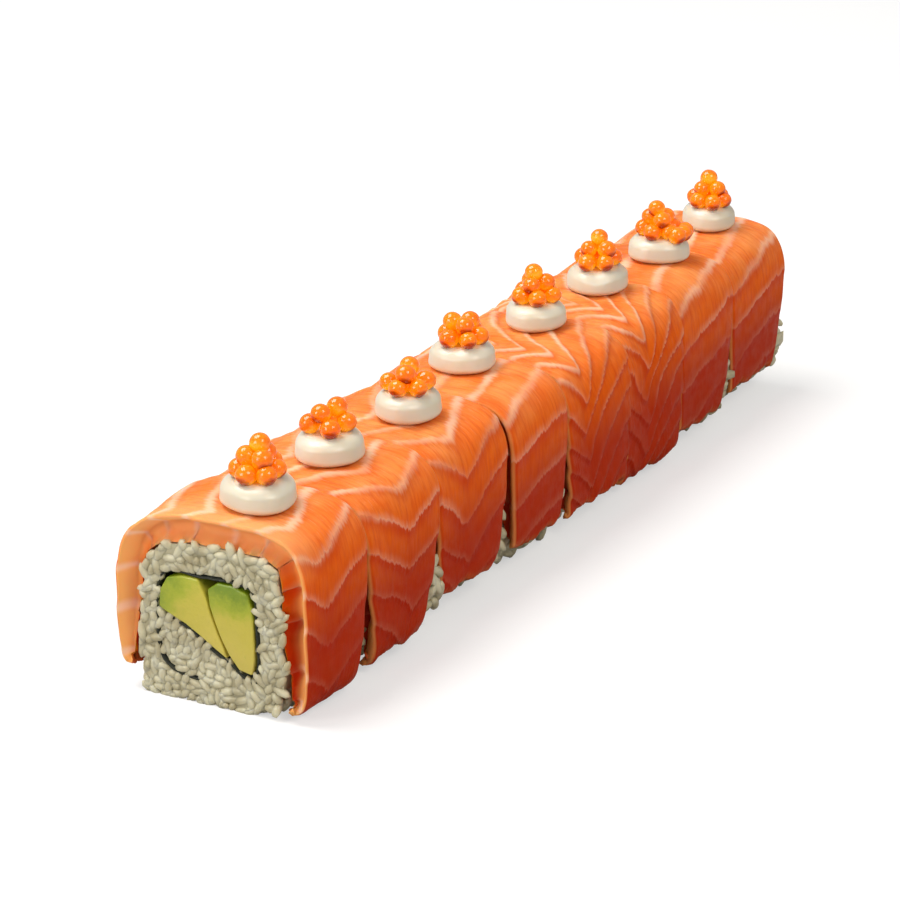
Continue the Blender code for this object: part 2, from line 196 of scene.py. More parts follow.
class UramakiColours(bpy.types.PropertyGroup):
    """Colours that can be changed before the roll is made."""

    rice: colour_setting("Rice", "Cooked rice grain", tone(214, 208, 178))
    # A darker random tone of the rice, also used for the painted shade of the core between the
    # grains
    rice_shade: colour_setting("Rice shade", "Rice between the grains", tone(172, 162, 128))
    nori: colour_setting("Nori", "Pressed seaweed", tone(22, 26, 16))
    avocado_green: colour_setting("Avocado green", "Flesh next to the skin", tone(116, 140, 8))
    avocado_heart: colour_setting("Avocado yellow", "Flesh by the stone", tone(206, 188, 82))
    salmon: colour_setting("Salmon", "Flesh of the fish", tone(244, 106, 6))
    # A darker random tone of the flesh, also used for the painted shade under each flake
    salmon_deep: colour_setting("Salmon deep", "Darker flesh in the folds", tone(208, 52, 2))
    # Darker low flanks: partly deeper flesh, partly painted shade
    salmon_low: colour_setting("Salmon low", "Flesh low on the flanks", tone(172, 32, 0))
    salmon_pale: colour_setting("Salmon pale", "Paler flesh on the top", tone(250, 160, 88))
    fat: colour_setting("Fat", "Fat lines of the fish", tone(252, 200, 166))
    cream: colour_setting("Cream", "Cream dollops", tone(220, 214, 196))
    roe: colour_setting("Roe", "Roe pearls", tone(254, 138, 6))
    # Painted shade where a pearl curves under on its outer side
    roe_rim: colour_setting("Roe rim", "Deep colour at a pearl's edge", tone(160, 36, 0))
    stage: colour_setting("Stage", "Floor and backdrop", (0.5, 0.5, 0.5))


class Palette:
    """The colour settings as plain tuples."""

    def __init__(self, colours):
        for name in UramakiColours.__annotations__:
            setattr(self, name, tuple(getattr(colours, name)))


# ------------------------------------------------------------------ shader maths


class Value:
    """A number on a shader socket, which takes part in Python arithmetic."""

    def __init__(self, finish, socket):
        self.finish = finish
        self.socket = socket

    def join(self, operation, *others):
        node = self.finish.tree.nodes.new("ShaderNodeMath")
        node.operation = operation
        for slot, item in zip(node.inputs, others):
            self.finish.feed(slot, item)
        return Value(self.finish, node.outputs[0])

    def __add__(self, other):
        return self.join("ADD", self, other)

    __radd__ = __add__

    def __sub__(self, other):
        return self.join("SUBTRACT", self, other)

    def __rsub__(self, other):
        return self.join("SUBTRACT", other, self)

    def __mul__(self, other):
        return self.join("MULTIPLY", self, other)

    __rmul__ = __mul__

    def __truediv__(self, other):
        return self.join("DIVIDE", self, other)

    def __abs__(self):
        return self.join("ABSOLUTE", self)

    def fraction(self):
        return self.join("FRACT", self)

    def most(self, other):
        return self.join("MAXIMUM", self, other)


class Finish:
    """A material with one Principled shader, whose nodes are made by expressions."""

    def __init__(self, name):
        self.material = bpy.data.materials.new(name)
        self.material.use_nodes = True
        self.tree = self.material.node_tree
        self.shader = self.tree.nodes["Principled BSDF"]

    def feed(self, slot, item):
        if isinstance(item, Value):
            self.tree.links.new(item.socket, slot)
        elif isinstance(item, tuple) and len(item) == 3 and slot.type == "RGBA":
            slot.default_value = (*item, 1.0)
        else:
            slot.default_value = item

    def node(self, kind, inputs=(), output=0, **settings):
        """Any other node: its settings first, then the values or links of its sockets."""
        made = self.tree.nodes.new(kind)
        for name, setting in settings.items():
            setattr(made, name, setting)
        for name, item in dict(inputs).items():
            self.feed(made.inputs[name], item)
        return Value(self, made.outputs[output])

    def mix(self, share, first, second):
        """The first colour, or the second where the share is 1."""
        made = self.tree.nodes.new("ShaderNodeMix")
        made.data_type = "RGBA"
        for place, item in ((0, share), (6, first), (7, second)):
            self.feed(made.inputs[place], item)
        return Value(self, made.outputs[2])

    def smooth(self, value, low, high):
        """0 below low, 1 above high and a soft step between."""
        inputs = {"Value": value, "From Min": low, "From Max": high}
        return self.node("ShaderNodeMapRange", inputs, interpolation_type="SMOOTHSTEP")

    def places(self):
        return self.node("ShaderNodeTexCoord", output="Object")

    def attribute(self, name):
        return self.node("ShaderNodeAttribute", output="Vector", attribute_name=name)

    def parts(self, vector):
        made = self.tree.nodes.new("ShaderNodeSeparateXYZ")
        self.feed(made.inputs[0], vector)
        return [Value(self, socket) for socket in made.outputs]

    def vector(self, x, y, z):
        return self.node("ShaderNodeCombineXYZ", {"X": x, "Y": y, "Z": z})

    def stretched(self, vector, scale):
        return self.node("ShaderNodeVectorMath", {0: vector, 1: scale}, operation="MULTIPLY")

    def noise(self, vector, scale, detail=2.0, roughness=0.5):
        inputs = {"Vector": vector, "Scale": scale, "Detail": detail, "Roughness": roughness}
        return self.node("ShaderNodeTexNoise", inputs)

    def cells(self, vector, scale):
        return self.node("ShaderNodeTexVoronoi", {"Vector": vector, "Scale": scale})

    def bump(self, height, strength, distance):
        inputs = {"Height": height, "Strength": strength, "Distance": distance}
        return self.node("ShaderNodeBump", inputs)

    def surface(self, **inputs):
        """Sets the shader's sockets, written with _ for spaces."""
        for name, item in inputs.items():
            self.feed(self.shader.inputs[name.replace("_", " ")], item)
        return self.material


# ------------------------------------------------------------------ shapes


def signed_power(value, power):
    return np.sign(value) * np.abs(value) ** power


def arch_point(half_width, height, angle):
    """A point of a slice's rounded-square section, by its angle from the right."""
    cosine, sine = np.cos(angle), np.sin(angle)
    top = np.where(cosine < 0.0, *SQUARENESS_TOP)
    low = np.where(cosine < 0.0, *SQUARENESS_LOW)
    power = 2.0 / np.where(sine < 0.0, low, top)
    across = half_width * signed_power(cosine, power)
    up = 0.5 * height * (1.0 + signed_power(sine, power))
    return np.stack([across, up], axis=-1)


def hem_angle(height, hem, side):
    """How far below the middle, as an angle, the section comes down to the hem."""
    return math.asin((1.0 - 2.0 * hem / height) ** (SQUARENESS_LOW[side] / 2.0))


def line_lengths(points):
    steps = np.linalg.norm(np.diff(points, axis=0), axis=1)
    return np.concatenate([[0.0], np.cumsum(steps)])


def evenly(points, count):
    """The same line with its points at equal distances along it."""
    along = line_lengths(points)
    wanted = np.linspace(0.0, along[-1], count)
    return np.stack([np.interp(wanted, along, column) for column in points.T], axis=-1)


def smooth_line(points, per_span=8):
    """A soft curve through the points (Catmull-Rom)."""
    points = np.asarray(points, float)
    padded = np.vstack([2 * points[0] - points[1], points, 2 * points[-1] - points[-2]])
    share = np.linspace(0.0, 1.0, per_span, endpoint=False)[:, None]
    spans = []
    for before, start, end, after in zip(padded, padded[1:], padded[2:], padded[3:]):
        bend = 2 * before - 5 * start + 4 * end - after
        twist = 3 * start - before - 3 * end + after
        curve = 2 * start + (end - before) * share + bend * share**2 + twist * share**3
        spans.append(0.5 * curve)
    return np.vstack([*spans, points[-1:]])


def wave(place, phase):
    """An uneven wave between -1 and 1 that doesn't repeat within a slice."""
    long = np.sin(place + phase)
    middle = np.sin(1.7 * place + 2.3 * phase)
    short = np.sin(3.1 * place + phase)
    return (long + middle + short) / 3.0


def rough(x, y, z=0.0):
    """Smooth noise between about -1 and 1."""
    return noise.noise(Vector((x, y, z)))


def round_edge(distance, radius):
    """How much of a round edge is cut away at a distance from the edge, 1 at the edge."""
    share = np.clip(1.0 - distance / radius, 0.0, 1.0)
    return 1.0 - np.sqrt(1.0 - share**2)


class Place:
    """Where one slice stands, read from the frame, and the shape of its outside."""

    def __init__(self, number):
        self.number = number
        self.drape = DRAPES[number - 1]
        self.topping = TOPPINGS[number - 1]
        rice_low, rice_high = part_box(f"rice_{number}")
        salmon_low, salmon_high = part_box(f"salmon_{number}")
        self.start, self.end = rice_low[1], rice_high[1]
        self.length = self.end - self.start
        self.shift = 0.5 * (salmon_low[0] + salmon_high[0])
        self.half_width = 0.5 * (salmon_high[0] - salmon_low[0]) - SWELL
        self.height = salmon_high[2] - SWELL
        self.is_first = number == 1
        self.is_last = number == SLICE_COUNT
        self.phase = 1.9 * number

    def swell(self, along):
        """How far the salmon stands out of its plain section, at a share of the length."""
        share = np.clip(along / SWELL_SHARE, 0.0, 1.0)
        rise = SWELL * (0.5 - 0.5 * np.cos(math.pi * share))
        if self.is_last:
            return rise
        return rise - LIP * np.clip((along - 1.0 + LIP_SHARE) / LIP_SHARE, 0.0, 1.0) ** 2

    def section(self, along, angle):
        grow = self.swell(along)
        point = arch_point(self.half_width + grow, self.height + grow, angle)
        return point + np.array([self.shift, 0.0])

    def top(self, across, y):
        """Height of the salmon's outside above a point of the plan."""
        grow = self.swell((y - self.start) / self.length)
        share = (across - self.shift) / (self.half_width + grow)
        squareness = SQUARENESS_TOP[int(share > 0.0)]
        rise = (1.0 - min(abs(share), 1.0) ** squareness) ** (1.0 / squareness)
        return 0.5 * (self.height + grow) * (1.0 + rise)

    def hem_heights(self, along):
        """Heights of the left and the right hem, ragged along the slice."""
        left = self.drape.left_hem * MM + 0.7 * MM * wave(5.0 * along, self.phase)
        right = self.drape.right_hem * MM + 0.9 * MM * wave(6.0 * along, self.phase + 1.0)
        ragged = 0.5 * MM * rough(14.0 * along, self.phase)
        ragged += 0.3 * MM * rough(45.0 * along, self.phase)
        return max(left + ragged, HEM_LEAST), max(right - ragged, HEM_LEAST)

    def salmon_span(self, up):
        """Where the salmon starts and ends along the row at this height."""
        drop = np.clip(DRAW_FROM - up / self.height, 0.0, 1.0) ** DRAW_POWER
        start = self.start + self.drape.front_step * MM * drop
        return start, self.end - self.drape.end_step * MM * drop


def nori_line(place):
    """The nori's line on this slice's cut face, at even steps."""
    scale = np.array([1.0, place.height / NORI_LINE_HEIGHT])
    shift = np.array([place.shift, 0.0])
    return evenly(smooth_line(np.array(NORI_LINE) * MM * scale + shift), NORI_LINE_POINTS)


FOLD_SOFTNESS = 0.5
FOLD_EASING = 0.03


def fat_field(place, across, along):
    """Number of the fat line at a point: whole numbers are lines. Inputs in millimetres."""
    drape = place.drape
    wander = 0.9 * rough(0.11 * across, 0.16 * along, place.phase)
    wander += 0.35 * rough(0.4 * across, 0.5 * along, place.phase + 5.0)
    fold = drape.fold_at * place.length / MM + drape.lean * across
    fold += 2.2 * rough(0.13 * across, place.phase)
    away = along - fold
    bend = math.sqrt(away * away + FOLD_SOFTNESS * FOLD_SOFTNESS) - FOLD_SOFTNESS
    climb = (drape.back_fold if away > 0.0 else drape.front_fold) * bend
    climb /= 1.0 + FOLD_EASING * abs(climb)
    return (across + wander + climb) / drape.spacing + drape.offset


def new_piece(name, mesh, material, slot, *nodes):
    """A finished piece that rides on the roll and stands for its CAD nodes."""
    mesh.materials.append(material)
    item = bpy.data.objects.new(name, mesh)
    bpy.context.scene.collection.objects.link(item)
    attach(item, "root")
    if nodes:
        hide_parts(*nodes)
    return item


def mesh_from(bm, name):
    mesh = bpy.data.meshes.new(name)
    bm.to_mesh(mesh)
    bm.free()
    mesh.shade_smooth()
    return mesh


def move_into(bm, batch):
    """Adds what a batch holds to a bmesh and empties the batch."""
    mesh = bpy.data.meshes.new("batch")
    batch.to_mesh(mesh)
    batch.free()
    bm.from_mesh(mesh)
    bpy.data.meshes.remove(mesh)


DOUBLES_WITHIN = 0.005 * MM


def node_copy(node):
    """A bmesh copy of a CAD node with its loose triangles merged."""
    bm = bmesh.new()
    bm.from_mesh(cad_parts[node].data)
    bmesh.ops.remove_doubles(bm, verts=bm.verts, dist=DOUBLES_WITHIN)
    return bm


# ------------------------------------------------------------------ salmon

SALMON_AROUND = 170
SALMON_ALONG = 90
ARCH_POINTS = 600
HEM_RADIUS = 2.2 * MM
NEAR_NEXT_SLICE = 0.2 * MM
SALMON_LOWEST = 0.35 * MM
FLAKE_START = 0.2
FLAKE_MIDDLE = 0.45

# How an end of a slab is rounded: its radius, and the share of the thickness cut away
ShowingEdge = namedtuple("ShowingEdge", "radius depth")
FIRST_FRONT = ShowingEdge(0.4 * MM, 0.25)
OTHER_FRONT = ShowingEdge(0.7 * MM, 0.4)
LAST_END = ShowingEdge(0.4 * MM, 0.2)
OTHER_END = ShowingEdge(1.2 * MM, 0.35)


def salmon_row(place, along):
    """The slab's outside at a share of the length, from the left hem over to the right one.

    Gives its points, its outward directions and how far each point is across from the
    crown, with the same distances for the right and the left hem.
    """
    left_hem, right_hem = place.hem_heights(along)
    first = math.pi + hem_angle(place.height, left_hem, LEFT)
    last = -hem_angle(place.height, right_hem, RIGHT)
    angles = np.linspace(first, last, ARCH_POINTS)
    arch = place.section(along, angles)
    lengths = line_lengths(arch)
    crown = np.interp(-0.5 * math.pi, -angles, lengths)
    points = evenly(arch, SALMON_AROUND)
    slopes = np.gradient(points, axis=0)
    slopes /= np.linalg.norm(slopes, axis=1)[:, None]
    outward = np.stack([-slopes[:, 1], slopes[:, 0]], axis=-1)
    across = np.linspace(0.0, lengths[-1], SALMON_AROUND) - crown
    return points, outward, across, lengths[-1] - crown, -crown


def flake_height(line):
    """The rise of a flake of flesh after its fat line, which drops to the next flake."""
    band = line - math.floor(line)
    if band > FLAKE_START:
        rise = (band - FLAKE_START) / (1.0 - FLAKE_START)
        return rise * rise * (3.0 - 2.0 * rise)
    return 0.5 + 0.5 * math.cos(math.pi * band / FLAKE_START)


def salmon_mesh(place, thickness):
    """The slab's outside: a fine grid bent over the slice, with its fat lines' relief."""
    drape = place.drape
    bm = bmesh.new()
    bmesh.ops.create_grid(bm, x_segments=SALMON_AROUND - 1, y_segments=SALMON_ALONG - 1, size=1.0)
    flesh = bm.verts.layers.float_vector.new("flesh")
    edges = bm.verts.layers.float_vector.new("edges")
    fullness = bm.verts.layers.deform.verify()
    rows = [salmon_row(place, row / (SALMON_ALONG - 1)) for row in range(SALMON_ALONG)]
    front_edge = FIRST_FRONT if place.is_first else OTHER_FRONT
    end_edge = LAST_END if place.is_last else OTHER_END
    for vertex in bm.verts:
        column = round((vertex.co.x + 1.0) * 0.5 * (SALMON_AROUND - 1))
        row = round((vertex.co.y + 1.0) * 0.5 * (SALMON_ALONG - 1))
        points, outward, across, right_end, left_end = rows[row]
        x, z = points[column]
        front, end = place.salmon_span(z)
        share = row / (SALMON_ALONG - 1)
        y = front + share * (end - front)
        if not place.is_first:
            y -= NEAR_NEXT_SLICE * (1.0 - share) ** 8
        if not place.is_last:
            y += NEAR_NEXT_SLICE * share**8
        u = across[column]
        v = share * place.length
        line = fat_field(place, u / MM, v / MM)
        relief = drape.relief * MM * (flake_height(line) - FLAKE_MIDDLE)
        relief += 0.10 * MM * rough(0.25 * u / MM, 0.3 * v / MM, 9.0 + place.phase)
        hem_side = right_end - u if u > 0.0 else u - left_end
        hem = drape.right_hem if u > 0.0 else drape.left_hem
        taper = np.clip((z - hem * MM) / HEM_TAPER, 0.0, 1.0)
        local = thickness * (HEM_SHARE + (1.0 - HEM_SHARE) * taper)
        edge = max(
            float(round_edge(hem_side, HEM_RADIUS)),
            float(round_edge(y - front, front_edge.radius)) * front_edge.depth,
            float(round_edge(end - y, end_edge.radius)) * end_edge.depth,
        )
        inward = 0.5 * local * edge - relief * (1.0 - edge)
        nx, nz = outward[column]
        vertex.co = (x - nx * inward, y, max(z - nz * inward, SALMON_LOWEST))
        left = max(local * (1.0 - edge), 0.08 * thickness) + relief * (1.0 - edge)
        vertex[fullness][0] = min(max(left / thickness, 0.05), 1.0)
        fibre = v / MM - 0.2 * (drape.back_fold - drape.front_fold) * u / MM
        vertex[flesh] = (line, fibre, u / MM)
        vertex[edges] = (hem_side / MM, (y - front) / MM, 0.0)
    return mesh_from(bm, f"salmon_fine_{place.number}")


def salmon_finish(colours, place):
    """Flakes of flesh, each with painted shade under the one before it and pale at its own edge.
    """
    finish = Finish(f"salmon_{place.number}")
    line, fibre, across = finish.parts(finish.attribute("flesh"))
    hem, from_front, _ = finish.parts(finish.attribute("edges"))
    spot = finish.places()
    cloud = finish.noise(spot, 130.0, 1.0)
    fine = finish.noise(finish.vector(line * 1.6, fibre * 1.3, place.phase), 1.0, 4.0, 0.65)
    hair = finish.noise(finish.vector(line * 2.4, fibre * 4.0, 3.0 + place.phase), 1.0, 3.0, 0.7)
    on_top = 1.0 - finish.smooth(abs(across), 13.0, 26.0)
    frayed = line + (cloud - 0.5) * 0.14 + (hair - 0.5) * 0.045 * on_top
    band = frayed.fraction()
    gap = 0.5 - abs(band - 0.5)
    low = finish.smooth(abs(across), 20.0, 40.0)

    bar = 1.0 - finish.smooth(gap, 0.02, 0.19)
    tail = finish.smooth(band, 0.70, 0.99)
    flank_line = (tail * tail * 0.62).most(1.0 - finish.smooth(gap, 0.015, 0.06))
    flank_line = flank_line * (0.46 - 0.36 * low)
    patchy = 0.45 + 0.55 * finish.smooth(finish.noise(spot, 75.0, 1.0), 0.38, 0.6)
    rim = 1.0 - finish.smooth(from_front, 0.0, 0.35)
    fat = (bar * on_top * 0.85).most(flank_line) * patchy
    if place.is_first:
        fat = fat.most(rim * bar * 0.8)

    # Painted shade: the flesh just after each fat line is darker, under the flake before it, less
    # so on the top
    under = (1.0 - finish.smooth(band, 0.02, 0.5)) * (1.0 - 0.75 * on_top)
    paleness = on_top * (0.35 + 0.55 * finish.smooth(cloud, 0.3, 0.7))
    flesh = finish.mix(paleness, colours.salmon, colours.salmon_pale)
    flesh = finish.mix(finish.smooth(fine, 0.35, 0.8) * 0.5, flesh, colours.salmon_deep)
    flesh = finish.mix(under * 0.75, flesh, colours.salmon_deep)
    # Partly painted shade: the flesh turns darker and redder low on the flanks
    flesh = finish.mix(low * 0.9, flesh, colours.salmon_low)
    streaks = finish.smooth(hair, 0.55, 0.75) * (0.02 + 0.26 * on_top)
    flesh = finish.mix(streaks, flesh, colours.fat)
    # Partly painted light: the cut face is made paler, partly for its paler cut flesh and partly
    # against the shade that falls on it
    flesh = finish.mix(rim * (0.85 if place.is_first else 0.45), flesh, tone(254, 184, 108))
    if place.is_first:
        near_front = (1.0 - finish.smooth(from_front, 0.5, 9.0)) * on_top
        flesh = finish.mix(near_front * 0.7, flesh, tone(252, 170, 108))
    colour = finish.mix(fat, flesh, colours.fat)
    thin = (1.0 - finish.smooth(hem, 0.2, 2.4)) * 0.25
    colour = finish.mix(thin, colour, colours.salmon_pale)

    wet = finish.noise(spot, 420.0, 2.0)
    height = hair * 0.30 + fine * 0.5 + wet * 0.25 - bar * 0.2
    return finish.surface(
        Base_Color=colour,
        Roughness=0.34 + 0.22 * finish.smooth(wet, 0.35, 0.65),
        Normal=finish.bump(height, 0.45, 0.3 * MM),
        Subsurface_Weight=0.30,
        Subsurface_Radius=(1.0, 0.25, 0.06),
        Subsurface_Scale=2.0 * MM,
        Specular_IOR_Level=0.08,
    )


class URAMAKI_OT_salmon(bpy.types.Operator):
    """Drapes a slab of salmon over each slice"""

    bl_idname = "uramaki.salmon"
    bl_label = "Salmon"

    def execute(self, context):
        sizes, palette = context.scene.uramaki_sizes, Palette(context.scene.uramaki_colours)
        for number in range(1, SLICE_COUNT + 1):
            place = Place(number)
            mesh = salmon_mesh(place, sizes.salmon_thickness)
            name = f"salmon_{number}"
            look = salmon_finish(palette, place)
            item = new_piece(f"{name}_slab", mesh, look, "salmon", name)
            item.vertex_groups.new(name="fullness")
            shell = item.modifiers.new("Solidify", "SOLIDIFY")
            shell.thickness = sizes.salmon_thickness
            shell.offset = -1.0
            shell.vertex_group = "fullness"
        return {"FINISHED"}


# ------------------------------------------------------------------ rice

GRAIN_BATCH = 1500
PRESSED_UP = 0.45 * MM
PRESSED_FROM = 8.0 * MM
BULGE_ROOM = 1.2 * MM
CORE_DRAWN_IN = 0.5 * MM
CORE_DRAWN_ASIDE = 0.35 * MM
CORE_BOTTOM = 3.0 * MM
CORE_OUTSIDE = 0.62
CUT_FACE = 0.7
CUT_FACE_CLOSER = 0.84
NORI_CLEARANCE = 0.6 * MM
BARE_STEP = 0.8 * MM
HEM_OVERLAP = 1.6 * MM
TRIES_PER_SPOT = 14.0
GRAIN_LAYERS = 2
GRAIN_STANDS_OUT = 0.22 * MM
GRAIN_SPREAD = 0.4 * MM
GRAIN_LOWEST = 0.02 * MM


def rice_block(place):
    """The CAD rice pressed up to the salmon, bulging out where its far end is bare."""
    bm = node_copy(f"rice_{place.number}")
    bulge = 0.5 * place.drape.end_step * MM
    for vertex in bm.verts:
        x, y, z = vertex.co
        across = x - place.shift
        if z > 0.75 * place.height:
            vertex.co.z += PRESSED_UP
        if abs(across) > HOLLOW_HALF_WIDTH and z > PRESSED_FROM:
            vertex.co.x += math.copysign(PRESSED_UP, across)
        if y > place.start + 0.5 * place.length and abs(across) > HOLLOW_HALF_WIDTH:
            low = min(max(1.1 - z / place.height, 0.0), 0.8)
            room = place.half_width - BULGE_ROOM - abs(across)
            vertex.co.x += math.copysign(min(bulge * low, max(room, 0.0)), across)
    return bm


def rice_core(place):
    """The block under the grains, drawn in a little so that the grains stand out of it."""
    bm = rice_block(place)
    middle = place.start + 0.5 * place.length
    for vertex in bm.verts:
        x, y, z = vertex.co
        across = (x - place.shift) / place.half_width
        vertex.co.y = y + (CORE_DRAWN_IN if y < middle else -CORE_DRAWN_IN)
        if z < CORE_BOTTOM or abs(across) > CORE_OUTSIDE:
            vertex.co.x = x - CORE_DRAWN_ASIDE * across
            vertex.co.z = max(z, CORE_DRAWN_IN)
    mesh = mesh_from(bm, f"rice_core_{place.number}")
    mesh.shade_flat()
    return mesh


def shows(place, point, normal, nori):
    """Whether rice grains can be seen at this point of a block of rice."""
    x, y, z = point
    if abs(normal.y) > CUT_FACE:
        if not (place.is_first if normal.y < 0.0 else place.is_last):
            return False
        return np.min(np.hypot(nori[:, 0] - x, nori[:, 1] - z)) > NORI_CLEARANCE
    if x - place.shift < 0.0:
        hem, outer = place.drape.left_hem, normal.x < 0.2
    else:
        hem, outer = place.drape.right_hem, normal.x > -0.2
    in_hollow = abs(x - place.shift) < HOLLOW_HALF_WIDTH and HOLLOW_LOW < z < HOLLOW_HIGH
    if in_hollow or not outer:
        return normal.z < -0.9 and z < 1.0 * MM
    front, end = place.salmon_span(z)
    bare = y > end - 1.0 * MM and place.end - end > BARE_STEP
    bare = bare or (y < front + BARE_STEP and front - place.start > BARE_STEP)
    return z < hem * MM + HEM_OVERLAP or bare


def rice_spots(place, pitch, chance, layer):
    """Points and normals on the showing faces of the rice, kept apart by the pitch.

    The outer layers lie only on the flanks, where the rice bulges out of the salmon.
    """
    bm = rice_block(place)
    bmesh.ops.triangulate(bm, faces=bm.faces)
    spots = []
    taken = {}
    nori = nori_line(place)
    for face in bm.faces:
        a, b, c = (Vector(corner.co) for corner in face.verts)
        gap = CUT_FACE_CLOSER * pitch if abs(face.normal.y) > CUT_FACE else pitch
        tries = int(face.calc_area() / (pitch * pitch) * TRIES_PER_SPOT + chance.random())
        for _ in range(tries):
            s, t = chance.random(), chance.random()
            if s + t > 1.0:
                s, t = 1.0 - s, 1.0 - t
            point = a + (b - a) * s + (c - a) * t
            if layer and abs(face.normal.x) < 0.5:
                continue
            if not shows(place, point, face.normal, nori):
                continue
            cell = tuple(int(math.floor(part / pitch)) for part in point)
            around = [
                tuple(part + step for part, step in zip(cell, steps))
                for steps in product((-1, 0, 1), repeat=3)
            ]
            near = (other for key in around for other in taken.get(key, ()))
            if any((point - other).length < gap for other in near):
                continue
            taken.setdefault(cell, []).append(point)
            spots.append((point, face.normal.copy()))
    bm.free()
    return spots


def grains_mesh(place, sizes):
    """Rice grains lying on the showing faces, each a small bent drop."""
    chance = random.Random(700 + place.number)
    bm = bmesh.new()
    batch = bmesh.new()
    widest = place.half_width + GRAIN_SPREAD
    spots = []
    for layer in range(GRAIN_LAYERS):
        pitch = sizes.grain_pitch * (1.0 + 0.35 * layer)
        found = rice_spots(place, pitch, chance, layer)
        spots += [(point, normal, layer) for point, normal in found]
    for point, normal, layer in spots:
        if len(batch.verts) > GRAIN_BATCH:
            move_into(bm, batch)
            batch = bmesh.new()
        cut_face = abs(normal.y) > CUT_FACE
        length = sizes.grain_length * chance.uniform(0.78, 1.08)
        width = sizes.grain_width * chance.uniform(0.84, 1.08)
        if cut_face:
            length *= chance.choice((0.55, 0.8, 0.95))
            width *= 0.88
        lift = -0.06 * width if cut_face else 0.15 * width + layer * 1.1 * MM
        turn = normal.to_track_quat("Z", "Y").to_matrix().to_4x4()
        tilt = 0.2 if cut_face else 0.5
        angles = [chance.uniform(-tilt, tilt) for _ in range(2)]
        spin = Euler((*angles, chance.uniform(0.0, math.pi)))
        centre = point - normal * (0.5 * width - lift - 0.15 * width)
        shape = Matrix.Diagonal((0.5 * length, 0.5 * width, 0.44 * width, 1.0))
        matrix = Matrix.Translation(centre) @ turn @ spin.to_matrix().to_4x4() @ shape
        made = bmesh.ops.create_uvsphere(
            batch, u_segments=8, v_segments=6, radius=1.0, matrix=matrix
        )
        bend = chance.uniform(-0.5, 0.5) * 0.16 * width
        side = matrix.to_3x3() @ Vector((0.0, 1.0, 0.0))
        side.normalize()
        ahead = matrix.to_3x3() @ Vector((1.0, 0.0, 0.0))
        half = ahead.length
        ahead.normalize()
        for vertex in made["verts"]:
            share = (vertex.co - centre).dot(ahead) / half
            vertex.co += side * bend * (share * share - 0.4) * 2.0
            front, end = place.start - GRAIN_STANDS_OUT, place.end + GRAIN_STANDS_OUT
            vertex.co.y = min(max(vertex.co.y, front), end)
            vertex.co.x = place.shift + min(max(vertex.co.x - place.shift, -widest), widest)
            vertex.co.z = max(vertex.co.z, GRAIN_LOWEST)
    move_into(bm, batch)
    return mesh_from(bm, f"rice_grains_{place.number}")


def rice_finish(colours, name, is_core):
    """Glossy cooked rice; the core has the bumps of grains and is painted darker, as painted shade
    between the grains.
    """
    finish = Finish(name)
    spot = finish.places()
    cloud = finish.noise(spot, 240.0, 3.0)
    fine = finish.noise(spot, 1100.0, 2.0)
    grains = finish.cells(spot, 420.0)
    share = finish.smooth(cloud, 0.3, 0.72)
    colour = finish.mix(share, colours.rice_shade, colours.rice)
    if is_core:
        # Painted shade: the core between the grains is darkened
        colour = finish.mix(0.6, colour, colours.rice_shade)
    height = grains * 0.8 + fine * 0.25
    normal = finish.bump(height if is_core else fine * 0.5, 0.5, 0.4 * MM)
    return finish.surface(
        Base_Color=colour,
        Roughness=0.34 + 0.2 * fine,
        Normal=normal,
        Subsurface_Weight=0.4,
        Subsurface_Radius=(1.0, 0.85, 0.6),
        Subsurface_Scale=1.2 * MM,
        Coat_Weight=0.2,
        Coat_Roughness=0.25,
    )


class URAMAKI_OT_rice(bpy.types.Operator):
    """Makes the blocks of rice and the grains that show on them"""

    bl_idname = "uramaki.rice"
    bl_label = "Rice"

    def execute(self, context):
        sizes, palette = context.scene.uramaki_sizes, Palette(context.scene.uramaki_colours)
        core_look = rice_finish(palette, "rice_core", True)
        grain_look = rice_finish(palette, "rice_grain", False)
        for number in range(1, SLICE_COUNT + 1):
            place = Place(number)
            node = f"rice_{number}"
            new_piece(f"{node}_core", rice_core(place), core_look, "rice", node)
            new_piece(f"{node}_grains", grains_mesh(place, sizes), grain_look, "rice")
        return {"FINISHED"}


# ------------------------------------------------------------------ fillings


NORI_DRAWN_IN = 0.3 * MM
NORI_UNEVEN = 0.22 * MM
STICK_EDGE = 0.35 * MM


def nori_mesh(place):
    """The nori sheet: its spiral line run through the slice."""
    bm = bmesh.new()
    corners = [bm.verts.new((x, place.start + NORI_DRAWN_IN, z)) for x, z in nori_line(place)]
    edges = [bm.edges.new(pair) for pair in zip(corners, corners[1:])]
    made = bmesh.ops.extrude_edge_only(bm, edges=edges)
    moved = [item for item in made["geom"] if isinstance(item, bmesh.types.BMVert)]
    bmesh.ops.translate(bm, verts=moved, vec=(0.0, place.length - 2.0 * NORI_DRAWN_IN, 0.0))
    for vertex in bm.verts:
        x, _, z = vertex.co
        vertex.co.x += NORI_UNEVEN * rough(500.0 * x, 500.0 * z, 3.0)
        vertex.co.z += NORI_UNEVEN * rough(500.0 * x, 500.0 * z, 8.0)
    bmesh.ops.recalc_face_normals(bm, faces=bm.faces)
    return mesh_from(bm, f"nori_fine_{place.number}")


def nori_finish(colours):
    """Nearly black seaweed with paler green fibres."""
    finish = Finish("nori")
    spot = finish.places()
    grain = finish.noise(spot, 900.0, 3.0, 0.7)
    colour = finish.mix(finish.smooth(grain, 0.4, 0.8), colours.nori, tone(52, 58, 34))
    normal = finish.bump(grain, 0.6, 0.2 * MM)
    return finish.surface(Base_Color=colour, Roughness=0.38 + 0.3 * grain, Normal=normal)


